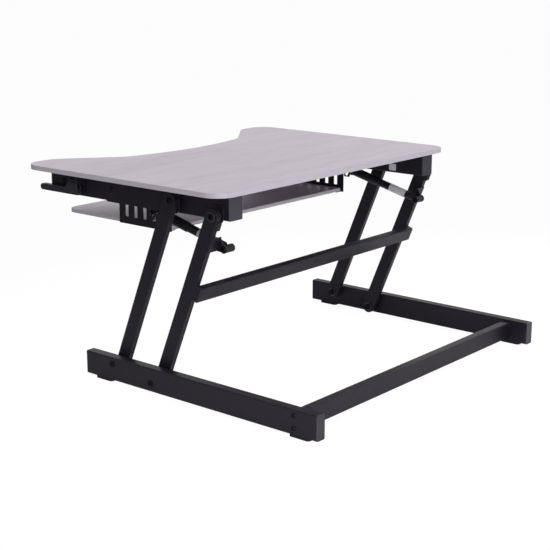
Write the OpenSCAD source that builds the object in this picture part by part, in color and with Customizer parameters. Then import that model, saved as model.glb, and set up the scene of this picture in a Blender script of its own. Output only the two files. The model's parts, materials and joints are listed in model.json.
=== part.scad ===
// Standing desk converter: a gas-spring lift on two pairs of parallel arms, in its raised position.
// The user stands at -Y and faces +Y, +X is the user's right, +Z is up.
// The origin is the centre of the footprint, on the surface that the rubber feet stand on.

/* [Desktop] */
// Width of the desktop
desk_w = 944; // [930:1:950]
// Depth of the desktop from the tips of the wings to the rear edge
desk_d = 680; // [670:1:686]
// Thickness of the desktop board
desk_t = 12; // [12:0.5:18]
// Radius of the desktop's outer corners
desk_corner_r = 50; // [30:1:55]
// Depth of the cut-out at its middle
cutout_d = 149; // [140:1:152]
// Half width of the cut-out at its back
cutout_half_w = 222; // [200:1:225]
// Half width of the cut-out between the wings
cutout_mouth_half_w = 374; // [362:1:378]

/* [Base] */
// Overall depth from the wing tips to the back of the base rails, raised
overall_d = 965; // [960:1:975]
// Width over the two base rails
base_w = 953; // [950:1:960]
// Length of a base rail with its end caps
base_len = 742; // [735:1:750]
// Width of a base rail
base_rail_w = 27; // [25:0.5:29]
// Height of a base rail
base_rail_h = 60; // [58:1:62]
// Height of the rubber feet
foot_h = 6; // [4:0.5:7]
// Depth of the rear cross rail
cross_d = 25; // [22:1:27]
// Height of the rear cross rail
cross_h = 44; // [42:1:46]
// Distance from the back of the base rails to the cross rail's middle
cross_inset = 67; // [64:1:70]

/* [Lift arms] */
// Distance between the two pivots of an arm
arm_len = 465; // [463:1:467]
// Angle of the arms above horizontal, raised
arm_angle = 67.75; // [67.35:0.1:68.15]
// Depth of an arm tube in the side view
arm_d = 37; // [35:0.5:38]
// Width of an arm tube
arm_w = 13; // [12.5:0.5:13.5]
// Gap between an arm and the base rail outside it
outer_gap = 8.5; // [8:0.1:9]
// Gap between an arm and the side plate inside it
inner_gap = 5.5; // [5:0.1:6]
// Distance from the base rail's front end to the front pivot
front_pivot_inset = 92.5; // [90:0.5:95]
// Height of the front pivot above the base rail's underside
front_pivot_h = 42; // [41:0.5:43]
// Distance from the front pivot back to the rear pivot
pivot_dy = 134; // [132:1:136]
// Drop from the front pivot to the rear pivot
pivot_dz = 21; // [19.5:0.5:22.5]

/* [Top rails] */
// Length of a top rail with its end caps
top_rail_len = 614; // [608:1:616]
// Width of a top rail
top_rail_w = 45; // [44:0.5:46]
// Height of a top rail
top_rail_h = 60; // [59:0.5:61]
// Distance from the front arm's top pivot back to the rail's rear end
top_rail_rear = 171; // [168:1:174]
// Height of the front arm's top pivot above the rail's underside
top_pivot_h = 31; // [30:0.5:32]

/* [Keyboard tray] */
// Width of the tray board
tray_w = 700; // [690:1:700]
// Depth of the tray board
tray_d = 380; // [370:1:382]
// Thickness of the tray board
tray_t = 9; // [8:0.5:10]
// Drop from the desktop's underside to the tray board's underside
tray_drop = 128; // [124:1:128]
// Length of a side hanger
hanger_len = 175; // [174:1:178]
// Number of slots in a side hanger
hanger_slots = 5; // [3:1:5]

/* [Gas springs] */
// Radius of the cylinder
gas_tube_r = 10.6; // [10:0.1:10.8]
// Length of the cylinder
gas_tube_len = 127; // [122:1:127]
// Radius of the rod
gas_rod_r = 5; // [4:0.5:5]

/* [Lock and levers] */
// Outer radius of the toothed sector
sector_r = 22; // [21:0.5:22]
// Number of height stops
lock_stops = 6; // [5:1:7]
// Length of the squeeze lever in front of its hinge
lever_len = 127; // [118:1:130]

/* [Hidden] */

black = [0.13, 0.13, 0.14];
dark_plastic = [0.08, 0.08, 0.085];
laminate = [0.78, 0.76, 0.79];
zinc = [0.62, 0.63, 0.65];
nylon = [0.85, 0.85, 0.82];
round_fn = 48;
wall = 2;
cap_t = 2.5;
fit_gap = 0.05;
loose_gap = 0.3;

// Places along Y (front to back) and Z (up), as [y, z] pairs for the pivots
front_y = -overall_d / 2;
base_rear_y = overall_d / 2;
base_front_y = base_rear_y - base_len;
desk_rear_y = front_y + desk_d;
arm_vector = arm_len * [cos(arm_angle), sin(arm_angle)];
base_front_pivot = [base_front_y + front_pivot_inset, foot_h + front_pivot_h];
base_rear_pivot = base_front_pivot + [pivot_dy, -pivot_dz];
top_front_pivot = base_front_pivot + arm_vector;
top_rear_pivot = base_rear_pivot + arm_vector;
top_rail_z = top_front_pivot[1] - top_pivot_h;
desk_z = top_rail_z + top_rail_h;
top_rail_y1 = top_front_pivot[0] + top_rail_rear;
top_rail_y0 = top_rail_y1 - top_rail_len;

// Places along X, from the outside in, on the right-hand side
base_out_x = base_w / 2;
base_in_x = base_out_x - base_rail_w;
arm_out_x = base_in_x - outer_gap;
arm_in_x = arm_out_x - arm_w;
plate_out_x = arm_in_x - inner_gap;
plate_t = 3;
rail_out_x = plate_out_x - plate_t;
rail_in_x = rail_out_x - top_rail_w;
rail_mid_x = (rail_out_x + rail_in_x) / 2;

// Pivot hardware
pivot_r = 5;
thread_r = 4;
head_r = 9;
head_t = 3;
bush_r = 8;
flange_r = 12;
flange_t = 2.3;
spacer_gap = 0.2;
nut_t = 5;

// Rear cross rail
cross_y = base_rear_y - cross_inset;
cross_z = foot_h + base_rail_h / 2 + 1;
cross_screw_rise = 15;
screw_r = 3;
screw_head_r = 6;

// Mid cross rail, placed along the rear arms
mid_at = 268.4;
mid_h = 38;
mid_d = 17;
mid_half_w = arm_out_x + 1;

// Gas spring: the lower pin rides on the rear arm, the upper pin under the top rail
spring_x = 394;
spring_pin_back = 70.2;
spring_pin_off = 39.4;
spring_lower_local = [arm_len - spring_pin_back, -spring_pin_off];
spring_lower = base_rear_pivot + [
    spring_lower_local[0] * cos(arm_angle) - spring_lower_local[1] * sin(arm_angle),
    spring_lower_local[0] * sin(arm_angle) + spring_lower_local[1] * cos(arm_angle)
];
spring_upper = [top_front_pivot[0] - 87, top_rail_z - 11.4];
spring_run = spring_upper - spring_lower;
spring_len = norm(spring_run);
spring_angle = atan2(spring_run[1], spring_run[0]);
clevis_half_w = 14;
clevis_t = 4;
eye_half_w = 13;
gas_tube_start = 14;
label_from = 39;
label_len = 55;
label_t = 0.3;
sleeve_from = 132;

// Squeeze lever and lock rod
lever_pivot = [top_front_pivot[0] - 339, desk_z - 13];
lever_x0 = 425;
lever_x1 = 438;
lock_z = lever_pivot[1] - 20;
lock_rise = top_front_pivot[1] - lock_z;
lock_x = 406;
notch_w = 2.4;
notch_d = 4;
lock_step = 59 / (lock_stops - 1);
lever_bracket_y0 = lever_pivot[0] - 100;
lever_bracket_y1 = lever_pivot[0] + 19;

// Tray
tray_z = desk_z - tray_drop;
tray_front_y = front_y + 21.5;
tray_rear_y = tray_front_y + tray_d;
hanger_t = 2;
hanger_y0 = tray_rear_y - hanger_len;
slide_z = desk_z - 19.5;
slide_half_h = 17.5;
slide_d = 10;
tray_half_w = tray_w / 2;
tab_y = [-258, -60, 110];

// Shared shapes ---------------------------------------------------------------------------

// Puts the right-hand part on the side asked for: 1 is the right, -1 is the left
module on_side(side) {
    mirror([side < 0 ? 1 : 0, 0, 0]) children();
}

module both_sides() {
    for (side = [1, -1]) on_side(side) children();
}

// A plate drawn in the side view, [y, z], from x0 to x1
module x_plate(x0, x1) {
    translate([x0, 0, 0]) rotate([90, 0, 90]) linear_extrude(x1 - x0) children();
}

module x_rod(x0, x1, r, at) {
    translate([x0, at[0], at[1]]) rotate([0, 90, 0]) cylinder(h = x1 - x0, r = r, $fn = round_fn);
}

module y_rod(y0, y1, r) {
    translate([0, y0, 0]) rotate([-90, 0, 0]) cylinder(h = y1 - y0, r = r, $fn = round_fn);
}

module disc_2d(r, at) {
    translate(at) circle(r, $fn = round_fn);
}

module rounded_box_2d(w, h, r) {
    square([w - 2 * r, h], center = true);
    square([w, h - 2 * r], center = true);
    for (sx = [-1, 1]) for (sy = [-1, 1]) disc_2d(r, [sx * (w / 2 - r), sy * (h / 2 - r)]);
}

module tube_2d(w, h, t, r) {
    difference() {
        rounded_box_2d(w, h, r);
        rounded_box_2d(w - 2 * t, h - 2 * t, r - t / 2);
    }
}

// A shape drawn in the front view, [x, z], running back from y0 to y1
module y_bar(y0, y1) {
    translate([0, y1, 0]) rotate([90, 0, 0]) linear_extrude(y1 - y0) children();
}

// Local frame of an arm: +Y runs up the arm from its base pivot, -Z is its rear face
module arm_frame(pivot) {
    translate([0, pivot[0], pivot[1]]) rotate([arm_angle, 0, 0]) children();
}

// Local frame of the gas spring: +Y runs from the lower pin to the upper pin
module spring_frame() {
    translate([spring_x, spring_lower[0], spring_lower[1]]) rotate([spring_angle, 0, 0]) children();
}

// Button head with a hexagon socket, its face looking towards +X
module button_head(x, at, r, t) {
    difference() {
        translate([x, at[0], at[1]]) rotate([0, 90, 0]) union() {
            cylinder(h = t * 0.4, r = r, $fn = round_fn);
            translate([0, 0, t * 0.4]) cylinder(h = t * 0.6, r1 = r, r2 = r * 0.72, $fn = round_fn);
        }
        translate([x + t * 0.35, at[0], at[1]]) rotate([0, 90, 0]) cylinder(h = t, r = r * 0.38, $fn = 6);
    }
}

// Points of an arc of radius r that rounds the corner b of the path a, b, c
function unit(v) = v / norm(v);
function corner_arc(a, b, c, r, steps) =
    let (u = unit(a - b), v = unit(c - b),
         half = acos(u * v) / 2,
         centre = b + unit(u + v) * r / sin(half),
         start = b + u * r / tan(half) - centre,
         end = b + v * r / tan(half) - centre,
         a0 = atan2(start[1], start[0]),
         turn = atan2(start[0] * end[1] - start[1] * end[0], start * end))
    [for (i = [0 : steps]) centre + r * [cos(a0 + turn * i / steps), sin(a0 + turn * i / steps)]];

// Base ------------------------------------------------------------------------------------

module base_rail(side) {
    color(black) on_side(side) difference() {
        translate([base_out_x - base_rail_w / 2, 0, foot_h + base_rail_h / 2])
            y_bar(base_front_y + cap_t, base_rear_y - cap_t) tube_2d(base_rail_w, base_rail_h, wall, 3);
        for (pivot = [base_front_pivot, base_rear_pivot])
            x_rod(base_in_x - 1, base_out_x + 1, pivot_r, pivot);
        for (rise = [-1, 1])
            x_rod(base_in_x - 1, base_out_x + 1, screw_r, [cross_y, cross_z + rise * cross_screw_rise]);
    }
}

module end_cap(w, h, plug) {
    y_bar(0, cap_t) rounded_box_2d(w, h, 3);
    difference() {
        y_bar(-plug, 0) rounded_box_2d(w - 2 * wall - 0.2, h - 2 * wall - 0.2, 2);
        y_bar(-plug - 1, -2) rounded_box_2d(w - 2 * wall - 5, h - 2 * wall - 5, 1);
    }
}

module base_end_caps() {
    color(dark_plastic) both_sides() translate([base_out_x - base_rail_w / 2, 0, foot_h + base_rail_h / 2]) {
        translate([0, base_rear_y - cap_t, 0]) end_cap(base_rail_w, base_rail_h, 14);
        translate([0, base_front_y + cap_t, 0]) mirror([0, 1, 0]) end_cap(base_rail_w, base_rail_h, 14);
    }
}

module rubber_feet() {
    color(dark_plastic) both_sides() for (y = [base_front_y + 58, base_rear_y - 54])
        translate([base_out_x - base_rail_w / 2, y, 0]) {
            linear_extrude(foot_h - 1.5) rounded_box_2d(base_rail_w - 3, 58, 8);
            linear_extrude(foot_h) rounded_box_2d(base_rail_w - 5, 56, 7);
        }
}

module base_cross_rail() {
    end_plate = 8;
    color(black) difference() {
        union() {
            x_plate(-base_in_x, base_in_x) translate([cross_y, cross_z]) tube_2d(cross_d, cross_h, wall, 3);
            both_sides() x_plate(base_in_x - end_plate, base_in_x)
                translate([cross_y, cross_z]) square([cross_d - 2 * wall, cross_h - 2 * wall], center = true);
        }
        both_sides() for (rise = [-1, 1])
            x_rod(base_in_x - 20, base_in_x + 1, screw_r, [cross_y, cross_z + rise * cross_screw_rise]);
    }
}

module cross_rail_screws() {
    color(zinc) both_sides() for (rise = [-1, 1]) {
        at = [cross_y, cross_z + rise * cross_screw_rise];
        button_head(base_out_x, at, screw_head_r, head_t);
        x_rod(base_in_x - 12, base_out_x, screw_r, at);
    }
}

module base_pivot_bolts() {
    color(black) both_sides() for (pivot = [base_front_pivot, base_rear_pivot]) {
        button_head(base_out_x, pivot, head_r, head_t);
        x_rod(arm_in_x - flange_t - nut_t - 1.2, base_out_x, pivot_r, pivot);
    }
}

module base_pivot_nuts() {
    x1 = arm_in_x - flange_t - 0.2;
    color(zinc) both_sides() for (pivot = [base_front_pivot, base_rear_pivot]) difference() {
        translate([x1 - nut_t, pivot[0], pivot[1]]) rotate([0, 90, 0]) cylinder(h = nut_t, r = 9, $fn = 6);
        x_rod(x1 - nut_t - 1, x1 + 1, pivot_r, pivot);
    }
}

// Arms ------------------------------------------------------------------------------------

module arm(pivot, base_bore, top_bore) {
    inner_d = arm_d - 2 * wall;
    arm_frame(pivot) difference() {
        x_plate(arm_in_x, arm_out_x) {
            translate([0, -arm_d / 2]) square([arm_len, arm_d]);
            disc_2d(arm_d / 2, [0, 0]);
            disc_2d(arm_d / 2, [arm_len, 0]);
        }
        x_plate(arm_in_x + wall, arm_out_x - wall)
            translate([24, -inner_d / 2]) square([arm_len - 48, inner_d]);
        x_rod(arm_in_x - 1, arm_out_x + 1, base_bore, [0, 0]);
        x_rod(arm_in_x - 1, arm_out_x + 1, top_bore, [arm_len, 0]);
        translate([(arm_in_x + arm_out_x) / 2, 36, -arm_d / 2 - 1]) cylinder(h = 5, r = 3, $fn = round_fn);
    }
}

module rear_arm(side) {
    color(black) on_side(side) arm(base_rear_pivot, bush_r, bush_r);
}

module front_arm(side) {
    color(black) on_side(side) arm(base_front_pivot, bush_r, 6);
}

// Two flanged half bushes that line one pivot of an arm, with flanges of the two thicknesses given
module pivot_bush(at, inner_t, outer_t) {
    mid_x = (arm_in_x + arm_out_x) / 2;
    difference() {
        union() {
            x_rod(arm_in_x - inner_t, arm_in_x, flange_r, at);
            x_rod(arm_in_x, mid_x - 0.5, bush_r, at);
        }
        x_rod(arm_in_x - inner_t - 1, mid_x + 1, pivot_r + fit_gap, at);
    }
    difference() {
        union() {
            x_rod(arm_out_x, arm_out_x + outer_t, flange_r, at);
            x_rod(mid_x + 0.5, arm_out_x, bush_r, at);
        }
        x_rod(mid_x - 1, arm_out_x + outer_t + 1, pivot_r + fit_gap, at);
    }
}

module rear_arm_bushes() {
    color(nylon) both_sides() {
        pivot_bush(base_rear_pivot, flange_t, outer_gap - spacer_gap);
        pivot_bush(top_rear_pivot, inner_gap - spacer_gap, flange_t);
    }
}

module front_arm_bushes(side) {
    color(nylon) on_side(side) pivot_bush(base_front_pivot, flange_t, outer_gap - spacer_gap);
}

module mid_cross_rail() {
    color(black) arm_frame(base_rear_pivot) translate([0, mid_at, -(arm_d + mid_d) / 2]) difference() {
        x_plate(-mid_half_w, mid_half_w) rounded_box_2d(mid_h, mid_d, 2.5);
        x_plate(-mid_half_w + wall, mid_half_w - wall) rounded_box_2d(mid_h - 3, mid_d - 3, 1.5);
        translate([0, 0, -mid_d / 2 - 1]) cylinder(h = 4, r = 3, $fn = round_fn);
    }
}

// Bracket plate behind the rear arm, in the arm's own side view
module spring_plate_2d() {
    pin = spring_lower_local;
    boss_r = 10;
    disc_2d(boss_r, pin);
    polygon([[pin[0] - 15, -arm_d / 2], [pin[0] + 22, -arm_d / 2],
             [pin[0] + boss_r - 1, pin[1] + 4], [pin[0] - boss_r + 0.6, pin[1] + 3]]);
}

module spring_bracket(side) {
    pin = spring_lower_local;
    plate_x = spring_x + clevis_half_w;
    foot_t = 3;
    color(black) on_side(side) arm_frame(base_rear_pivot) difference() {
        union() {
            x_plate(plate_x, plate_x + clevis_t) spring_plate_2d();
            x_plate(plate_x, arm_out_x - 1)
                translate([pin[0] - 15, -arm_d / 2 - foot_t]) square([37, foot_t]);
        }
        x_rod(plate_x - 1, plate_x + clevis_t + 1, pivot_r, pin);
    }
}

module spring_lower_pins() {
    plate_x = spring_x + clevis_half_w;
    washer_x = spring_x - eye_half_w - 0.5;
    color(zinc) both_sides() arm_frame(base_rear_pivot) {
        x_rod(washer_x - 1.5, plate_x + clevis_t, pivot_r, spring_lower_local);
        button_head(plate_x + clevis_t, spring_lower_local, 7.5, head_t);
        x_rod(washer_x - 1.5, washer_x, 7, spring_lower_local);
    }
}

module lowering_bumpers() {
    bumper_t = 7;
    color(dark_plastic) both_sides() arm_frame(base_rear_pivot)
        x_plate(arm_in_x, arm_out_x) translate([arm_len - 15, -(arm_d + bumper_t) / 2]) {
            rounded_box_2d(22, bumper_t, 3);
            translate([-11, bumper_t / 2 - 4]) square([22, 4]);
        }
}

// Toothed sector on its shaft, turning with the front arm inside the top rail
module lock_sector(side) {
    sector_t = 4;
    color(zinc) on_side(side) {
        button_head(arm_out_x + 0.5, top_front_pivot, head_r, head_t);
        x_rod(lock_x - sector_t / 2 - 5, arm_out_x + 0.5, 6, top_front_pivot);
        x_rod(plate_out_x + 0.3, arm_in_x, flange_r, top_front_pivot);
        x_rod(lock_x - sector_t / 2 - 5, rail_out_x - wall - 0.8, 9, top_front_pivot);
        difference() {
            x_rod(lock_x - sector_t / 2, lock_x + sector_t / 2, sector_r, top_front_pivot);
            for (i = [0 : lock_stops - 1])
                translate([0, top_front_pivot[0], top_front_pivot[1]]) rotate([i * lock_step, 0, 0])
                    translate([lock_x - sector_t, -sector_r - 4, -lock_rise - notch_w / 2])
                        cube([2 * sector_t, 4 + notch_d + 0.4, notch_w]);
        }
    }
}

// Top frame -------------------------------------------------------------------------------

function desk_outline() =
    let (half = desk_w / 2,
         back = desk_rear_y,
         inner_y = front_y + cutout_d - 28,
         crown = [0, inner_y + cutout_half_w * tan(13.8)],
         notch = [cutout_half_w, inner_y],
         wing = [cutout_mouth_half_w, front_y],
         r = desk_corner_r,
         right = concat(
             corner_arc([-wing[0], front_y], [half, front_y], [half, back], r, 10),
             corner_arc([half, front_y], [half, back], [0, back], r, 10)))
    concat(
        corner_arc(notch, wing, [half, front_y], 60, 8),
        right,
        [for (i = [len(right) - 1 : -1 : 0]) [-right[i][0], right[i][1]]],
        corner_arc([-half, front_y], [-wing[0], front_y], [-notch[0], inner_y], 60, 8),
        corner_arc([-wing[0], front_y], [-notch[0], inner_y], crown, 70, 6),
        corner_arc([-notch[0], inner_y], crown, notch, 3.75 * cutout_half_w, 16),
        corner_arc(crown, notch, wing, 70, 6));

module desktop() {
    color(laminate) difference() {
        translate([0, 0, desk_z]) linear_extrude(desk_t) polygon(desk_outline());
        both_sides() for (y = tab_y)
            translate([rail_out_x + 12, y, desk_z - 1]) cylinder(h = desk_t - 1, r = 2, $fn = round_fn);
    }
}

module desktop_tabs() {
    color(black) both_sides() for (y = tab_y) translate([rail_out_x, y, desk_z - 3]) difference() {
        translate([0, -15, 0]) cube([22, 30, 3]);
        translate([12, 0, -1]) cylinder(h = 5, r = 2, $fn = round_fn);
    }
}

module desktop_screws() {
    color(zinc) both_sides() for (y = tab_y) translate([rail_out_x + 12, y, desk_z - 3]) {
        translate([0, 0, -2]) cylinder(h = 2, r = 4.5, $fn = round_fn);
        cylinder(h = desk_t - 1, r = 2, $fn = round_fn);
    }
}

module top_rail(side) {
    slot_y = lever_pivot[0];
    color(black) on_side(side) difference() {
        translate([rail_mid_x, 0, top_rail_z + top_rail_h / 2])
            y_bar(top_rail_y0 + cap_t, top_rail_y1 - cap_t) tube_2d(top_rail_w, top_rail_h, wall, 3);
        x_rod(rail_out_x - 5, rail_out_x + 1, 6 + loose_gap, top_front_pivot);
        x_rod(rail_out_x - 5, rail_out_x + 1, thread_r + fit_gap, top_rear_pivot);
        x_plate(rail_out_x - 5, rail_out_x + 1)
            translate([slot_y - 10, lock_z - 5]) square([15, 10]);
        x_rod(rail_out_x - 5, rail_out_x + 1, 2.5, side_plate_screw_at);
        for (at = lever_screws_at) x_rod(rail_out_x - 5, rail_out_x + 1, 2.5, at);
    }
}

module top_rail_end_caps() {
    color(dark_plastic) both_sides() translate([rail_mid_x, 0, top_rail_z + top_rail_h / 2]) {
        translate([0, top_rail_y1 - cap_t, 0]) end_cap(top_rail_w, top_rail_h, 14);
        translate([0, top_rail_y0 + cap_t, 0]) mirror([0, 1, 0]) end_cap(top_rail_w, top_rail_h, 14);
    }
}

side_plate_y0 = top_front_pivot[0] - 237;
side_plate_y1 = top_front_pivot[0] + 13;
side_plate_screw_at = [side_plate_y0 + 19.5, top_front_pivot[1] + 0.5];

module side_plate(side) {
    top_z = top_rail_z + top_rail_h - 3.5;
    low_z = top_rail_z - 1.5;
    color(black) on_side(side) difference() {
        x_plate(rail_out_x, plate_out_x) polygon([
            [side_plate_y0, low_z + 6], [side_plate_y0 + 5, low_z], [side_plate_y1 - 8, low_z],
            [side_plate_y1, low_z + 8], [side_plate_y1, top_z], [side_plate_y0, top_z]]);
        x_rod(rail_out_x - 1, plate_out_x + 1, 6 + loose_gap, top_front_pivot);
        x_rod(rail_out_x - 1, plate_out_x + 1, 2.5, side_plate_screw_at);
    }
}

module side_plate_screws() {
    color(zinc) both_sides() {
        button_head(plate_out_x, side_plate_screw_at, 5, 2);
        x_rod(rail_out_x - 6, plate_out_x, 2.5, side_plate_screw_at);
    }
}

module rear_pivot_plates() {
    color(black) both_sides() difference() {
        x_plate(rail_out_x, plate_out_x) translate(top_rear_pivot) {
            circle(21, $fn = round_fn);
            translate([-21, 0]) square([42, 24]);
        }
        x_rod(rail_out_x - 1, plate_out_x + 1, thread_r, top_rear_pivot);
    }
}

module rear_pivot_bolts() {
    head_x = arm_out_x + flange_t + 0.2;
    color(black) both_sides() {
        button_head(head_x, top_rear_pivot, head_r, head_t);
        x_rod(plate_out_x, head_x, pivot_r, top_rear_pivot);
        x_rod(rail_out_x - 6, plate_out_x, thread_r, top_rear_pivot);
    }
}

// Cheeks under the top rail; the slots let the upper pin drop a little at mid height
module spring_upper_brackets() {
    cheek_t = 2.5;
    drop = [-4.5, -11.1];
    reach = 19;
    color(black) both_sides() for (x = [spring_x - clevis_half_w - cheek_t, spring_x + clevis_half_w])
        difference() {
            x_plate(x, x + cheek_t) {
                translate([spring_upper[0] - 14, spring_upper[1] - 4])
                    square([26, top_rail_z - spring_upper[1] + 4]);
                polygon([spring_upper + [-14, -4], spring_upper + [12, -4],
                         spring_upper + [4, -reach], spring_upper + [-12, -reach]]);
            }
            for (i = [0 : 4])
                x_rod(x - 1, x + cheek_t + 1, thread_r + 1.1, spring_upper + drop * i / 4);
        }
}

module slide_channels() {
    z0 = slide_z - slide_half_h;
    color(zinc) both_sides() y_bar(top_rail_y0 + 6, tray_rear_y - 4) {
        translate([rail_in_x - 2, z0]) square([2, 2 * slide_half_h]);
        for (z = [z0, z0 + 2 * slide_half_h - 2]) translate([rail_in_x - slide_d, z]) square([slide_d, 2]);
    }
}

lever_screws_at = [[lever_pivot[0] - 53.5, top_rail_z + 35.5], [lever_pivot[0] - 26, top_rail_z + 40]];

module lever_bracket(side) {
    ear_x0 = lever_x1 + 1;
    ear_t = 3;
    low_z = top_rail_z + 30;
    top_z = desk_z - 0.5;
    color(black) on_side(side) difference() {
        union() {
            x_plate(rail_out_x, plate_out_x)
                translate([lever_bracket_y0, low_z])
                    square([lever_bracket_y1 - lever_bracket_y0, top_z - low_z]);
            x_plate(rail_out_x, ear_x0 + ear_t)
                translate([lever_bracket_y1 - 3, low_z + 4]) square([3, top_z - low_z - 4]);
            x_plate(ear_x0, ear_x0 + ear_t)
                polygon([[lever_pivot[0] - 6, lever_pivot[1] - 14], [lever_bracket_y1, lever_pivot[1] - 14],
                         [lever_bracket_y1, top_z], [lever_pivot[0] - 14, top_z],
                         [lever_pivot[0] - 14, lever_pivot[1] - 4]]);
        }
        x_rod(rail_out_x - 1, ear_x0 + ear_t + 1, thread_r, lever_pivot);
        x_plate(rail_out_x - 1, plate_out_x + 1)
            translate([lever_pivot[0] - 10, lock_z - 12]) square([15, 17]);
        for (at = lever_screws_at) x_rod(rail_out_x - 1, plate_out_x + 1, 2.5, at);
    }
}

module lever_bracket_screws() {
    color(zinc) both_sides() for (at = lever_screws_at) {
        button_head(plate_out_x, at, 5, 2);
        x_rod(rail_out_x - 6, plate_out_x, 2.5, at);
    }
}

module lever_pins() {
    color(zinc) both_sides() {
        x_rod(rail_out_x, lever_x1 + 5, thread_r, lever_pivot);
        button_head(lever_x1 + 4.1, lever_pivot, 5.5, 2);
    }
}

// Lock ------------------------------------------------------------------------------------

tooth_t = 2;
lock_tooth_y = top_front_pivot[0] - sqrt(pow(sector_r, 2) - pow(lock_rise - tooth_t / 2, 2)) - loose_gap;
guide_y = [lock_tooth_y - 135, lock_tooth_y - 45];
guide_t = 10;
collar_y = lock_tooth_y - 92;

module lock_guides() {
    floor_z = top_rail_z + wall;
    color(dark_plastic) both_sides() for (y = guide_y) difference() {
        translate([lock_x - 9, y, floor_z]) cube([18, guide_t, lock_z - floor_z + 9]);
        translate([lock_x, 0, lock_z]) y_rod(y - 1, y + guide_t + 1, 3 + fit_gap);
    }
}

// Open coil drawn as a swept wire, between the front guide and the collar on the rod
module lock_springs() {
    coil_r = 5;
    wire_r = 0.7;
    turns = 7;
    steps = 14;
    sides = 6;
    y0 = guide_y[0] + guide_t + wire_r + 0.1;
    pitch = (collar_y - 6 - y0) / turns;
    rings = turns * steps + 1;
    points = [for (i = [0 : rings - 1]) for (k = [0 : sides - 1])
        let (a = i * 360 / steps, b = k * 360 / sides, r = coil_r + wire_r * cos(b))
        [r * cos(a), y0 + pitch * i / steps + wire_r * sin(b), r * sin(a)]];
    walls = [for (i = [0 : rings - 2]) for (k = [0 : sides - 1])
        let (n = (k + 1) % sides)
        [i * sides + k, (i + 1) * sides + k, (i + 1) * sides + n, i * sides + n]];
    first_end = [for (k = [0 : sides - 1]) k];
    last_end = [for (k = [sides - 1 : -1 : 0]) (rings - 1) * sides + k];
    color(zinc) both_sides() translate([lock_x, 0, lock_z])
        polyhedron(points, concat(walls, [first_end, last_end]), convexity = 10);
}

module lock_rod(side) {
    eye_y = lever_pivot[0];
    color(zinc) on_side(side) translate([lock_x, 0, lock_z]) {
        difference() {
            translate([-5, eye_y - 8, -9]) cube([10, 16, 18]);
            translate([-6, eye_y - 3 - fit_gap, -4]) cube([12, 6 + 2 * fit_gap, 8]);
        }
        y_rod(eye_y + 8, lock_tooth_y - 8, 3);
        y_rod(collar_y, collar_y + 4, 7);
        translate([-2.5, lock_tooth_y - 14, -tooth_t / 2]) cube([5, 14, tooth_t]);
    }
}

// Squeeze lever: a finger bar under the desk edge, hinged high at its back
module squeeze_lever(side) {
    bar_z0 = top_rail_z + 4.5;
    bar_z1 = bar_z0 + 16;
    tip_y = lever_pivot[0] - lever_len;
    back_y = lever_pivot[0] + 14;
    cheek_t = 3;
    color(dark_plastic) on_side(side) difference() {
        union() {
            x_plate(lever_x0, lever_x1) {
                disc_2d(8, [tip_y + 8, bar_z0 + 8]);
                translate([tip_y + 8, bar_z0]) square([back_y - tip_y - 8, bar_z1 - bar_z0]);
            }
            for (x = [lever_x0, lever_x1 - cheek_t]) x_plate(x, x + cheek_t) {
                disc_2d(9, lever_pivot);
                polygon([[lever_pivot[0] - 34, bar_z1 - 1], [back_y, bar_z1 - 1],
                         [lever_pivot[0] + 9, lever_pivot[1]], [lever_pivot[0] - 9, lever_pivot[1]]]);
            }
            x_rod(lock_x - 6, lever_x0 + 1, 3, [lever_pivot[0], lock_z]);
        }
        x_rod(lever_x0 - 1, lever_x1 + 1, thread_r + fit_gap, lever_pivot);
        x_plate(lever_x0 + cheek_t, lever_x1 - cheek_t)
            translate([tip_y + 22, bar_z0 - 1]) square([back_y - tip_y - 32, 11]);
    }
}

// Keyboard tray ---------------------------------------------------------------------------

module keyboard_tray() {
    front_r = 30;
    rear_r = 4;
    color(laminate) difference() {
        translate([0, 0, tray_z]) linear_extrude(tray_t) polygon(concat(
            corner_arc([-tray_half_w, tray_front_y], [tray_half_w, tray_front_y],
                       [tray_half_w, tray_rear_y], front_r, 10),
            corner_arc([tray_half_w, tray_front_y], [tray_half_w, tray_rear_y],
                       [-tray_half_w, tray_rear_y], rear_r, 5),
            corner_arc([tray_half_w, tray_rear_y], [-tray_half_w, tray_rear_y],
                       [-tray_half_w, tray_front_y], rear_r, 5),
            corner_arc([-tray_half_w, tray_rear_y], [-tray_half_w, tray_front_y],
                       [tray_half_w, tray_front_y], front_r, 10)));
        both_sides() for (y = tray_screw_y)
            translate([tray_half_w - 10, y, tray_z - 1]) cylinder(h = 7, r = 2, $fn = round_fn);
    }
}

tray_screw_y = [hanger_y0 + 20, tray_rear_y - 20];

module tray_hanger(side) {
    pitch = 32;
    slot_w = 12;
    tail = 8;
    slot_z0 = tray_z + tray_t + 8;
    slot_z1 = desk_z - 44;
    first_y = hanger_y0 + 27;
    color(black) on_side(side) difference() {
        union() {
            x_plate(tray_half_w, tray_half_w + hanger_t)
                translate([hanger_y0, tray_z - hanger_t])
                    square([hanger_len + tail, desk_z - 5 - tray_z + hanger_t]);
            translate([tray_half_w - 20, hanger_y0, tray_z - hanger_t]) cube([20, hanger_len, hanger_t]);
        }
        for (i = [0 : hanger_slots - 1]) x_plate(tray_half_w - 1, tray_half_w + hanger_t + 1)
            translate([first_y + i * pitch, (slot_z0 + slot_z1) / 2])
                rounded_box_2d(slot_w, slot_z1 - slot_z0, 2);
        for (y = tray_screw_y) {
            translate([tray_half_w - 10, y, tray_z - hanger_t - 1]) cylinder(h = 4, r = 2, $fn = round_fn);
            x_rod(tray_half_w - 1, tray_half_w + hanger_t + 1, 2, [y, slide_z]);
        }
    }
}

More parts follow.
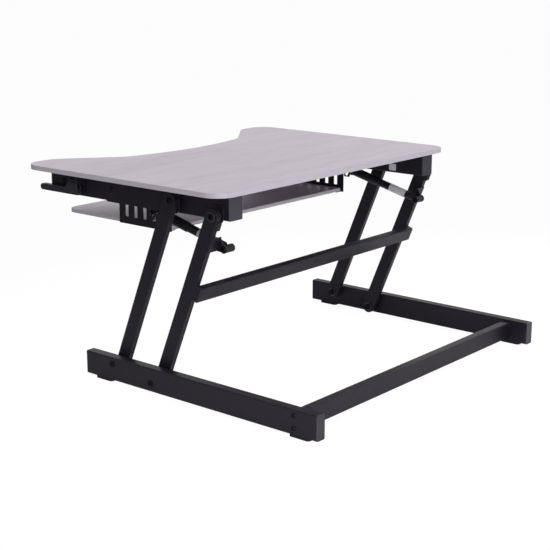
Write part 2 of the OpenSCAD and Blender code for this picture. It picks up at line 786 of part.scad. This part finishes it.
module slide_runners() {
    x0 = tray_half_w + hanger_t;
    x1 = rail_in_x - 2.8;
    color(zinc) both_sides() difference() {
        y_bar(hanger_y0, tray_rear_y) {
            translate([x0, slide_z - 6]) square([x1 - x0, 12]);
            translate([x1 - 4, slide_z - 14]) square([4, 28]);
        }
        for (y = tray_screw_y) x_rod(x0 - 1, x0 + 9, 2, [y, slide_z]);
    }
}

module tray_screws() {
    color(zinc) both_sides() for (y = tray_screw_y) {
        translate([tray_half_w - 10, y, tray_z - hanger_t - 1.6]) cylinder(h = 1.6, r = 4, $fn = round_fn);
        translate([tray_half_w - 10, y, tray_z - hanger_t]) cylinder(h = 8, r = 2, $fn = round_fn);
        x_rod(tray_half_w - 2, tray_half_w, 4, [y, slide_z]);
        x_rod(tray_half_w, tray_half_w + 10, 2, [y, slide_z]);
    }
}

// Gas springs -----------------------------------------------------------------------------

module gas_tube(side) {
    end_y = gas_tube_start + gas_tube_len;
    color(black) on_side(side) spring_frame() difference() {
        union() {
            x_rod(-eye_half_w, eye_half_w, 9.5, [0, 0]);
            y_rod(7, gas_tube_start, 7.5);
            y_rod(gas_tube_start, end_y, gas_tube_r);
        }
        x_rod(-eye_half_w - 1, eye_half_w + 1, pivot_r + fit_gap, [0, 0]);
        y_rod(gas_tube_start + 4, end_y - 8, gas_tube_r - 1.5);
        y_rod(end_y - 9, end_y + 1, gas_rod_r + fit_gap);
    }
}

module gas_label(side) {
    color(nylon) on_side(side) spring_frame() difference() {
        y_rod(label_from, label_from + label_len, gas_tube_r + label_t);
        y_rod(label_from - 1, label_from + label_len + 1, gas_tube_r);
    }
}

module gas_rod(side) {
    piston_y = gas_tube_start + gas_tube_len - 34;
    color(zinc) on_side(side) spring_frame() difference() {
        union() {
            y_rod(piston_y, spring_len - 4, gas_rod_r);
            y_rod(piston_y, piston_y + 12, gas_tube_r - 1.5 - fit_gap);
            y_rod(spring_len - 12.5, spring_len - 6, 6.5);
            x_rod(-10, 10, 7.5, [spring_len, 0]);
        }
        x_rod(-11, 11, thread_r, [spring_len, 0]);
    }
}

// Dust sleeve fixed to the rod's upper end; it slides over the cylinder and its label
module gas_sleeve(side) {
    sleeve_r = gas_tube_r + 1.8;
    cap_y = spring_len - 16.5;
    color(black) on_side(side) spring_frame() difference() {
        y_rod(sleeve_from, spring_len - 13, sleeve_r);
        y_rod(sleeve_from - 1, cap_y, gas_tube_r + 0.8);
        y_rod(cap_y - 1, spring_len - 12, gas_rod_r);
    }
}

module gas_upper_pin(side) {
    half = clevis_half_w + 2.5;
    color(zinc) on_side(side) spring_frame() {
        x_rod(-half - 1.6, half + 1.6, thread_r, [spring_len, 0]);
        for (x = [-half - 1.6, half + 0.4]) x_rod(x, x + 1.2, 6.2, [spring_len, 0]);
    }
}

// Nodes -----------------------------------------------------------------------------------

base_rail(1);  // base_rail_right
base_rail(-1);  // base_rail_left
base_end_caps();
rubber_feet();
base_cross_rail();
cross_rail_screws();
base_pivot_bolts();
base_pivot_nuts();
rear_arm(1);  // rear_arm_right
rear_arm(-1);  // rear_arm_left
rear_arm_bushes();
mid_cross_rail();
spring_bracket(1);  // spring_bracket_right
spring_bracket(-1);  // spring_bracket_left
spring_lower_pins();
lowering_bumpers();
front_arm(1);  // front_arm_right
front_arm(-1);  // front_arm_left
front_arm_bushes(1);  // front_arm_bushes_right
front_arm_bushes(-1);  // front_arm_bushes_left
lock_sector(1);  // lock_sector_right
lock_sector(-1);  // lock_sector_left
desktop();
desktop_tabs();
desktop_screws();
top_rail(1);  // top_rail_right
top_rail(-1);  // top_rail_left
top_rail_end_caps();
side_plate(1);  // side_plate_right
side_plate(-1);  // side_plate_left
side_plate_screws();
rear_pivot_plates();
rear_pivot_bolts();
spring_upper_brackets();
slide_channels();
lever_bracket(1);  // lever_bracket_right
lever_bracket(-1);  // lever_bracket_left
lever_bracket_screws();
lever_pins();
lock_guides();
lock_springs();
squeeze_lever(1);  // squeeze_lever_right
squeeze_lever(-1);  // squeeze_lever_left
lock_rod(1);  // lock_rod_right
lock_rod(-1);  // lock_rod_left
keyboard_tray();
tray_hanger(1);  // tray_hanger_right
tray_hanger(-1);  // tray_hanger_left
slide_runners();
tray_screws();
gas_tube(1);  // gas_tube_right
gas_tube(-1);  // gas_tube_left
gas_label(1);  // gas_label_right
gas_label(-1);  // gas_label_left
gas_rod(1);  // gas_rod_right
gas_rod(-1);  // gas_rod_left
gas_sleeve(1);  // gas_sleeve_right
gas_sleeve(-1);  // gas_sleeve_left
gas_upper_pin(1);  // gas_upper_pin_right
gas_upper_pin(-1);  // gas_upper_pin_left
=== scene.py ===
# Standing desk converter: materials, small details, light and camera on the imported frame.
import json
import math

import bmesh
import bpy
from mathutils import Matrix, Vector


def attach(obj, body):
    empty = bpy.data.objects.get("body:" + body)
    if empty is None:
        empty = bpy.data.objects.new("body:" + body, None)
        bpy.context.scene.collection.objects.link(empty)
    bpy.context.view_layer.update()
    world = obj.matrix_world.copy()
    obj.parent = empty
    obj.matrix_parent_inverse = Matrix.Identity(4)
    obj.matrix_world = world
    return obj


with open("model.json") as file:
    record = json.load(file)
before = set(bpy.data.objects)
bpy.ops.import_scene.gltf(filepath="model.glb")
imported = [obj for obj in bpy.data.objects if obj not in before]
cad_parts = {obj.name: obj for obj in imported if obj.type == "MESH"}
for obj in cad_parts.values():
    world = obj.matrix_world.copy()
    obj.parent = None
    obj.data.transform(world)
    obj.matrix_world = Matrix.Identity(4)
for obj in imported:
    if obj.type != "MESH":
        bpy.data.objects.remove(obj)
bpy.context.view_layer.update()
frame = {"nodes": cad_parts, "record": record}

NODES = frame["nodes"]
SIDES = {"right": 1, "left": -1}


# ---- Node helpers -------------------------------------------------------------------------

def new_material(name):
    mat = bpy.data.materials.new(name)
    mat.use_nodes = True
    tree = mat.node_tree
    return mat, tree, tree.nodes["Principled BSDF"]


def add(tree, kind, inputs=None, **props):
    node = tree.nodes.new(kind)
    for key, value in props.items():
        setattr(node, key, value)
    for key, value in (inputs or {}).items():
        node.inputs[key].default_value = value
    return node


def link(tree, source, target):
    tree.links.new(source, target)


def object_coords(tree, scale=(1, 1, 1)):
    coords = add(tree, "ShaderNodeTexCoord")
    mapping = add(tree, "ShaderNodeMapping", {"Scale": scale})
    link(tree, coords.outputs["Object"], mapping.inputs["Vector"])
    return mapping.outputs["Vector"]


def noise(tree, vector, scale, detail=4.0, roughness=0.55, distortion=0.0):
    node = add(tree, "ShaderNodeTexNoise",
               {"Scale": scale, "Detail": detail, "Roughness": roughness, "Distortion": distortion})
    link(tree, vector, node.inputs["Vector"])
    return node.outputs["Fac"]


def remap(tree, value, low, high, to_low, to_high):
    node = add(tree, "ShaderNodeMapRange",
               {"From Min": low, "From Max": high, "To Min": to_low, "To Max": to_high})
    link(tree, value, node.inputs["Value"])
    return node.outputs["Result"]


def ramp(tree, value, *stops):
    node = add(tree, "ShaderNodeValToRGB")
    elements = node.color_ramp.elements
    while len(elements) < len(stops):
        elements.new(0.5)
    for element, (position, colour) in zip(elements, stops):
        element.position = position
        element.color = (*colour, 1.0)
    link(tree, value, node.inputs["Fac"])
    return node.outputs["Color"]


def mottled(tree, value, base, darker, lighter):
    """The base colour, a little darker where the value is low and lighter where it is high."""
    return ramp(tree, value, (0.3, tuple(darker * c for c in base)), (0.7, tuple(lighter * c for c in base)))


def mix(tree, factor, a, b, blend="MIX"):
    node = add(tree, "ShaderNodeMix", data_type="RGBA", blend_type=blend)
    for socket, value in ((node.inputs["Factor"], factor), (node.inputs["A"], a), (node.inputs["B"], b)):
        if hasattr(value, "is_output"):
            link(tree, value, socket)
        else:
            socket.default_value = value if isinstance(value, float) else (*value, 1.0)
    return node.outputs["Result"]


def bump(tree, shader, height, strength, distance):
    node = add(tree, "ShaderNodeBump", {"Strength": strength, "Distance": distance})
    link(tree, height, node.inputs["Height"])
    link(tree, node.outputs["Normal"], shader.inputs["Normal"])


def painted_edge_highlight(tree, width, amount):
    """The given amount on sharp edges, and nought away from them: the mask where pale highlights are painted
    onto edges.
    """
    bevel = add(tree, "ShaderNodeBevel", {"Radius": width}, samples=4)
    geometry = add(tree, "ShaderNodeNewGeometry")
    dot = add(tree, "ShaderNodeVectorMath", operation="DOT_PRODUCT")
    link(tree, bevel.outputs["Normal"], dot.inputs[0])
    link(tree, geometry.outputs["Normal"], dot.inputs[1])
    return remap(tree, dot.outputs["Value"], 0.98, 0.80, 0.0, amount)


def edge_band(tree):
    """One on the upright faces round a board, nought on its top and underside."""
    coords = add(tree, "ShaderNodeTexCoord")
    axes = add(tree, "ShaderNodeSeparateXYZ")
    link(tree, coords.outputs["Normal"], axes.inputs["Vector"])
    upright = add(tree, "ShaderNodeMath", operation="ABSOLUTE")
    link(tree, axes.outputs["Z"], upright.inputs[0])
    return remap(tree, upright.outputs["Value"], 0.30, 0.10, 0.0, 1.0)


# ---- Materials ----------------------------------------------------------------------------

# Pale colours painted onto sharp edges as highlights and glints, where the edges would catch the light.
PAINT_EDGE_HIGHLIGHT = (0.100, 0.093, 0.106)
PLASTIC_EDGE_HIGHLIGHT = (0.120, 0.112, 0.128)
METAL_EDGE_GLINT = (0.50, 0.50, 0.52)
GRAIN_LIGHT, GRAIN_MID, GRAIN_DARK = (0.415, 0.368, 0.425), (0.388, 0.344, 0.398), (0.355, 0.315, 0.366)
BOARD_EDGE = (0.41, 0.385, 0.425)


def powder_coat(name, base, roughness):
    mat, tree, shader = new_material(name)
    coords = object_coords(tree)
    patches = noise(tree, coords, 9.0, 3.0)
    grit = noise(tree, coords, 1500.0, 2.0)
    tint = mottled(tree, patches, base, 0.85, 1.2)
    # Sharp edges painted pale towards the given colour: a painted highlight line along the corners.
    link(tree, mix(tree, painted_edge_highlight(tree, 0.0009, 0.8), tint, PAINT_EDGE_HIGHLIGHT), shader.inputs["Base Color"])
    link(tree, remap(tree, patches, 0.3, 0.7, roughness - 0.05, roughness + 0.05), shader.inputs["Roughness"])
    shader.inputs["Specular IOR Level"].default_value = 0.24
    shader.inputs["Specular Tint"].default_value = (0.95, 0.90, 1.0, 1.0)
    bump(tree, shader, grit, 0.25, 0.0002)
    return mat


def laminate(name):
    """Pale grey wood-grain foil: soft streaks along X, with faint darker pores."""
    mat, tree, shader = new_material(name)
    stretch = (1.0, 8.0, 8.0)
    coords = object_coords(tree, scale=stretch)
    waves = noise(tree, coords, 1.3, 4.0, 0.55, 1.1)
    streaks = noise(tree, coords, 9.0, 6.0, 0.65, 0.2)
    fine = object_coords(tree, scale=tuple(s * 5.0 for s in stretch))
    pores = noise(tree, fine, 14.0, 3.0, 0.5)
    base = ramp(tree, waves, (0.30, GRAIN_DARK), (0.50, GRAIN_MID), (0.72, GRAIN_LIGHT))
    streak = ramp(tree, streaks, (0.34, (0.82, 0.81, 0.83)), (0.55, (1.0, 1.0, 1.0)))
    pore = ramp(tree, pores, (0.30, (0.86, 0.85, 0.87)), (0.42, (1.0, 1.0, 1.0)))
    grain = mix(tree, 0.30, base, streak, "MULTIPLY")
    face = mix(tree, 0.30, grain, pore, "MULTIPLY")
    link(tree, mix(tree, edge_band(tree), face, BOARD_EDGE), shader.inputs["Base Color"])
    link(tree, remap(tree, streaks, 0.3, 0.7, 0.50, 0.42), shader.inputs["Roughness"])
    shader.inputs["Specular IOR Level"].default_value = 0.3
    bump(tree, shader, pores, 0.12, 0.0002)
    return mat


def moulded(name, base, roughness, grain=900.0, edge_highlight_amount=0.0, specular=0.4):
    """Leather-grained plastic or rubber; its sharp edges can be painted pale as a highlight, by the given
    amount.
    """
    mat, tree, shader = new_material(name)
    coords = object_coords(tree)
    patches = noise(tree, coords, 14.0, 3.0)
    leather = noise(tree, coords, grain, 2.0)
    tint = mottled(tree, patches, base, 0.9, 1.12)
    link(tree, mix(tree, painted_edge_highlight(tree, 0.0012, edge_highlight_amount), tint, PLASTIC_EDGE_HIGHLIGHT), shader.inputs["Base Color"])
    link(tree, remap(tree, leather, 0.3, 0.7, roughness - 0.06, roughness + 0.06), shader.inputs["Roughness"])
    shader.inputs["Specular IOR Level"].default_value = specular
    shader.inputs["Specular Tint"].default_value = (0.93, 0.91, 1.0, 1.0)
    bump(tree, shader, leather, 0.3, 0.0002)
    return mat


def plated(name, base, roughness, stretch=(1, 1, 1), edge_highlight_amount=0.0):
    """Plated or blackened metal; its sharp edges can be painted bright as a glint, by the given amount."""
    mat, tree, shader = new_material(name)
    cloud = noise(tree, object_coords(tree), 60.0, 3.0)
    brushed = noise(tree, object_coords(tree, scale=stretch), 200.0, 3.0)
    skin = mottled(tree, cloud, base, 0.85, 1.0)
    link(tree, mix(tree, painted_edge_highlight(tree, 0.0005, edge_highlight_amount), skin, METAL_EDGE_GLINT), shader.inputs["Base Color"])
    link(tree, remap(tree, brushed, 0.3, 0.7, roughness - 0.06, roughness + 0.08), shader.inputs["Roughness"])
    shader.inputs["Metallic"].default_value = 1.0
    bump(tree, shader, brushed, 0.1, 0.0001)
    return mat


def blank_film(name, base):
    """Blank pale film with a faint weave and smudges."""
    mat, tree, shader = new_material(name)
    coords = object_coords(tree)
    fibre = noise(tree, coords, 700.0, 3.0)
    smudge = noise(tree, coords, 120.0, 3.0)
    paper = mottled(tree, fibre, base, 0.9, 1.0)
    dirt = remap(tree, smudge, 0.35, 0.65, 0.0, 0.35)
    link(tree, mix(tree, dirt, paper, tuple(0.7 * c for c in base)), shader.inputs["Base Color"])
    link(tree, remap(tree, fibre, 0.3, 0.7, 0.45, 0.6), shader.inputs["Roughness"])
    bump(tree, shader, fibre, 0.1, 0.0001)
    return mat


MATERIALS = {
    "laminate": laminate("laminate_grain"),
    "black_steel": powder_coat("black_powder_coat", (0.0080, 0.0070, 0.0110), 0.46),
    # Black mouldings get a painted highlight along their sharp edges.
    "black_plastic": moulded("black_moulding", (0.0130, 0.0120, 0.0160), 0.42, edge_highlight_amount=0.8),
    "rubber": moulded("rubber_grain", (0.009, 0.009, 0.009), 0.75, grain=500.0),
    "zinc": plated("zinc_plate", (0.32, 0.32, 0.34), 0.38),
    "chrome_rod": plated("ground_rod", (0.62, 0.62, 0.64), 0.15, stretch=(1, 30, 30)),
    "bush_plastic": moulded("acetal_bush", (0.03, 0.03, 0.032), 0.4),
    "pale_label": blank_film("blank_film", (0.50, 0.50, 0.52)),
}
# Screw heads with bright glints painted on their sharp edges.
BLACKENED = plated("blackened_screw", (0.013, 0.012, 0.016), 0.40, edge_highlight_amount=0.18)
# End caps with their sharp edges painted pale as a highlight along the corners.
GLOSSY_CAP = moulded("glossy_cap", (0.0130, 0.0122, 0.0175), 0.26, edge_highlight_amount=1.0, specular=0.9)
DARK_SCREWS = ("base_pivot_bolts", "cross_rail_screws", "rear_pivot_bolts", "side_plate_screws",
               "lever_bracket_screws", "lever_pins", "lock_sector_right", "lock_sector_left",
               "spring_lower_pins", "base_pivot_nuts", "gas_upper_pin_right", "gas_upper_pin_left")
OWN_MATERIAL = {"top_rail_end_caps": GLOSSY_CAP, **{name: BLACKENED for name in DARK_SCREWS}}


def dress_cad_nodes():
    slots = {s["node"]: s["material_slot"] for s in frame["record"]["subparts"]}
    for name, obj in NODES.items():
        obj.data.materials.clear()
        obj.data.materials.append(OWN_MATERIAL.get(name, MATERIALS[slots[name]]))


dress_cad_nodes()


# ---- Softened edges -----------------------------------------------------------------------

BOARDS = ("desktop", "keyboard_tray")
TUBES = ("base_rail", "base_cross_rail", "mid_cross_rail", "top_rail_right", "top_rail_left")
PLATES_AND_ARMS = ("rear_arm_right", "rear_arm_left", "front_arm_right", "front_arm_left", "side_plate",
                   "lever_bracket_right", "lever_bracket_left", "squeeze_lever", "spring_bracket",
                   "spring_upper_brackets", "tray_hanger", "rear_pivot_plates", "desktop_tabs")
# Bevel width in metres, and its segments.
BOARD_BEVEL = (0.0012, 3)
CAP_BEVEL = (0.0028, 4)
TUBE_BEVEL = (0.0013, 3)
PLATE_BEVEL = (0.0006, 2)


def soften(obj, width, segments):
    modifier = obj.modifiers.new("soft_edges", "BEVEL")
    modifier.width = width
    modifier.segments = segments
    modifier.limit_method = "ANGLE"
    modifier.angle_limit = math.radians(50)
    modifier.use_clamp_overlap = True
    modifier.harden_normals = True


def soften_cad_nodes():
    for name, obj in NODES.items():
        if name in BOARDS:
            soften(obj, *BOARD_BEVEL)
        elif name == "top_rail_end_caps":
            soften(obj, *CAP_BEVEL)
        elif name.startswith(TUBES):
            soften(obj, *TUBE_BEVEL)
        elif name.startswith(PLATES_AND_ARMS):
            soften(obj, *PLATE_BEVEL)


soften_cad_nodes()


# ---- Small pieces -------------------------------------------------------------------------

ARM_ANGLE = math.radians(67.75)
REAR_PIVOT = (-0.033, 0.027)
ARM_HALF_DEPTH = 0.0185
WELD_LIFT = 0.0004
WELD_X0 = 0.4285
BEAD_SIDES = 10
BEAD_RIPPLE = 0.0035
# Name, distance up the rear arm, outer end in X, and bead radius.
WELDS = (("mid_rail_weld_low", 0.2489, 0.4405, 0.0018),
         ("mid_rail_weld_high", 0.2879, 0.4405, 0.0018),
         ("spring_foot_weld_low", 0.3792, 0.4395, 0.0015),
         ("spring_foot_weld_high", 0.4175, 0.4395, 0.0015))


def on_rear_arm(x, along, out):
    """World point at a distance along a rear arm and behind its rear face, raised."""
    depth = -(ARM_HALF_DEPTH + out)
    return (x,
            REAR_PIVOT[0] + along * math.cos(ARM_ANGLE) - depth * math.sin(ARM_ANGLE),
            REAR_PIVOT[1] + along * math.sin(ARM_ANGLE) + depth * math.cos(ARM_ANGLE))


def new_piece(name, bm, material, body, smooth=True):
    mesh = bpy.data.meshes.new(name)
    bmesh.ops.recalc_face_normals(bm, faces=bm.faces)
    bm.to_mesh(mesh)
    bm.free()
    for polygon in mesh.polygons:
        polygon.use_smooth = smooth
    mesh.materials.append(material)
    obj = bpy.data.objects.new(name, mesh)
    bpy.context.collection.objects.link(obj)
    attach(obj, body)
    return obj


def weld_bead(name, start, end, radius, body):
    """A rippled fillet weld between two points, thicker at each ripple."""
    start, end = Vector(start), Vector(end)
    run = end - start
    length = run.length
    rings = max(12, int(length / 0.0012))
    turn = run.to_track_quat("Z", "Y")
    bm = bmesh.new()
    loops = []
    for i in range(rings + 1):
        t = i / rings
        swell = radius * (0.85 + 0.15 * math.sin(t * length / BEAD_RIPPLE * 2 * math.pi))
        swell *= min(1.0, 0.3 + 6.0 * min(t, 1.0 - t))
        angles = [k * 2 * math.pi / BEAD_SIDES for k in range(BEAD_SIDES)]
        ring = [Vector((swell * math.cos(a), swell * math.sin(a), t * length)) for a in angles]
        loops.append([bm.verts.new(start + turn @ point) for point in ring])
    for lower, upper in zip(loops, loops[1:]):
        for k in range(BEAD_SIDES):
            n = (k + 1) % BEAD_SIDES
            bm.faces.new((lower[k], lower[n], upper[n], upper[k]))
    bm.faces.new(loops[0][::-1])
    bm.faces.new(loops[-1])
    return new_piece(name, bm, MATERIALS["black_steel"], body)


def rounded_patch(name, centre, half_y, half_z, radius, thickness, body):
    """A thin blank rounded sticker on a face that looks along +X."""
    bm = bmesh.new()
    outline = []
    for sy, sz, first in ((1, 1, 0), (-1, 1, 90), (-1, -1, 180), (1, -1, 270)):
        for step in range(7):
            a = math.radians(first + step * 15)
            outline.append((sy * (half_y - radius) + radius * math.cos(a),
                            sz * (half_z - radius) + radius * math.sin(a)))
    near = [bm.verts.new((centre[0], centre[1] + y, centre[2] + z)) for y, z in outline]
    far = [bm.verts.new((centre[0] + thickness, centre[1] + y, centre[2] + z)) for y, z in outline]
    bm.faces.new(near[::-1])
    bm.faces.new(far)
    for k in range(len(near)):
        n = (k + 1) % len(near)
        bm.faces.new((near[k], near[n], far[n], far[k]))
    piece = new_piece(name, bm, MATERIALS["pale_label"], body, smooth=False)
    soften(piece, 0.0001, 2)


def add_small_pieces():
    for side, sign in SIDES.items():
        for tag, along, outer_x, radius in WELDS:
            weld_bead(f"{tag}_{side}", on_rear_arm(sign * WELD_X0, along, WELD_LIFT),
                      on_rear_arm(sign * outer_x, along, WELD_LIFT), radius, "rear_arms")
    rounded_patch("rail_patch_left", (-0.3744, 0.080, 0.4625), 0.0115, 0.0095, 0.002, 0.0003, "top_frame")


add_small_pieces()


# ---- Floor, light and camera --------------------------------------------------------------

# The world's light by height: dark up to the first level, light from the second.
WORLD_LEVELS = (0.25, 0.75)
WORLD_STRENGTHS = (0.10, 1.27)
# The floor's painted pool of light: its centre, then the distances where it starts and stops fading.
PAINTED_POOL_CENTRE = (-0.2, 0.4, 0.0)
PAINTED_POOL_FADE = (0.8, 1.8)
# Floor colour painted bright inside the pool of light, and dark outside it as painted shade.
PAINTED_POOL_INSIDE, PAINTED_POOL_OUTSIDE = (0.95, 0.93, 0.97), (0.26, 0.25, 0.27)
# Name, place, aim, size and watts.
LIGHTS = (
    ("rear_left", (-3.0, 2.5, 1.1), (0, 0, 0.3), (2.2, 1.0), 24.0),
    ("rear_high", (0.4, 3.2, 2.6), (0, 0, 0.3), (2.6, 1.0), 31.0),
    ("corner_strip", (2.1, 2.7, 0.45), (0.3, 0.4, 0.3), (0.35, 0.9), 44.0),
    ("top", (0.0, 0.4, 3.2), (0, 0, 0), (3.0, 3.0), 6.0),
    ("rim", (-3.2, -2.6, 1.7), (0, 0, 0.3), (4.0, 1.0), 22.0),
)
CAMERA_AZIMUTH, CAMERA_ELEVATION = math.radians(129.85), math.radians(14.29)
CAMERA_PLACE = (2.5192, 2.0675, 1.0416)
CAMERA_LENS = 82.73


def seen_directly(tree):
    return add(tree, "ShaderNodeLightPath").outputs["Is Camera Ray"]


def make_floor():
    """A pale sweep that the camera sees nearly shadowless, as in a product shot."""
    bpy.ops.mesh.primitive_plane_add(size=80.0, location=(0, 0, -0.0005))
    floor = bpy.context.object
    floor.name = "studio_floor"
    mat, tree, shader = new_material("pale_floor")
    coords = object_coords(tree)
    mottle = noise(tree, coords, 0.6, 2.0)
    reach = add(tree, "ShaderNodeVectorMath", {1: PAINTED_POOL_CENTRE}, operation="DISTANCE")
    link(tree, coords, reach.inputs[0])
    # Painted pool of light on the floor's colour, fading to painted shade away from its centre.
    painted_pool = mix(tree, remap(tree, reach.outputs["Value"], *PAINTED_POOL_FADE, 0.0, 1.0), PAINTED_POOL_INSIDE, PAINTED_POOL_OUTSIDE)
    speckle = ramp(tree, mottle, (0.3, (0.96, 0.96, 0.96)), (0.7, (1.0, 1.0, 1.0)))
    link(tree, mix(tree, 1.0, painted_pool, speckle, "MULTIPLY"), shader.inputs["Base Color"])
    shader.inputs["Roughness"].default_value = 0.9
    shader.inputs["Specular IOR Level"].default_value = 0.1
    glow = add(tree, "ShaderNodeEmission", {"Color": (1.0, 1.0, 1.0, 1.0), "Strength": 1.03})
    blend = add(tree, "ShaderNodeMixShader")
    amount = add(tree, "ShaderNodeMath", {1: 0.93}, operation="MULTIPLY")
    link(tree, seen_directly(tree), amount.inputs[0])
    link(tree, amount.outputs["Value"], blend.inputs["Fac"])
    link(tree, shader.outputs["BSDF"], blend.inputs[1])
    link(tree, glow.outputs["Emission"], blend.inputs[2])
    link(tree, blend.outputs["Shader"], tree.nodes["Material Output"].inputs["Surface"])
    floor.data.materials.append(mat)


def make_world():
    """White behind the object; the light itself comes mostly from above."""
    world = bpy.data.worlds.new("studio")
    bpy.context.scene.world = world
    world.use_nodes = True
    tree = world.node_tree
    backdrop = tree.nodes["Background"]
    backdrop.inputs["Color"].default_value = (1.0, 1.0, 1.0, 1.0)
    backdrop.inputs["Strength"].default_value = 1.0
    coords = add(tree, "ShaderNodeTexCoord")
    axes = add(tree, "ShaderNodeSeparateXYZ")
    link(tree, coords.outputs["Generated"], axes.inputs["Vector"])
    dome = add(tree, "ShaderNodeBackground", {"Color": (1.0, 1.0, 1.0, 1.0)})
    link(tree, remap(tree, axes.outputs["Z"], *WORLD_LEVELS, *WORLD_STRENGTHS), dome.inputs["Strength"])
    blend = add(tree, "ShaderNodeMixShader")
    link(tree, seen_directly(tree), blend.inputs["Fac"])
    link(tree, dome.outputs["Background"], blend.inputs[1])
    link(tree, backdrop.outputs["Background"], blend.inputs[2])
    link(tree, blend.outputs["Shader"], tree.nodes["World Output"].inputs["Surface"])


def area_light(name, place, aim, size, watts):
    data = bpy.data.lights.new(name, "AREA")
    data.shape = "RECTANGLE"
    data.size, data.size_y = size
    data.energy = watts
    obj = bpy.data.objects.new(name, data)
    bpy.context.collection.objects.link(obj)
    obj.location = place
    obj.rotation_euler = (Vector(aim) - Vector(place)).to_track_quat("-Z", "Y").to_euler()


def make_camera():
    back = Vector((math.sin(CAMERA_AZIMUTH) * math.cos(CAMERA_ELEVATION),
                   -math.cos(CAMERA_AZIMUTH) * math.cos(CAMERA_ELEVATION),
                   math.sin(CAMERA_ELEVATION)))
    data = bpy.data.cameras.new("photo_camera")
    data.sensor_width = 36.0
    data.lens = CAMERA_LENS
    data.clip_end = 100.0
    camera = bpy.data.objects.new("photo_camera", data)
    bpy.context.collection.objects.link(camera)
    camera.location = CAMERA_PLACE
    camera.rotation_euler = back.to_track_quat("Z", "Y").to_euler()
    bpy.context.scene.camera = camera


make_floor()
make_world()
for light in LIGHTS:
    area_light(*light)
make_camera()
bpy.context.scene.view_settings.view_transform = "Standard"
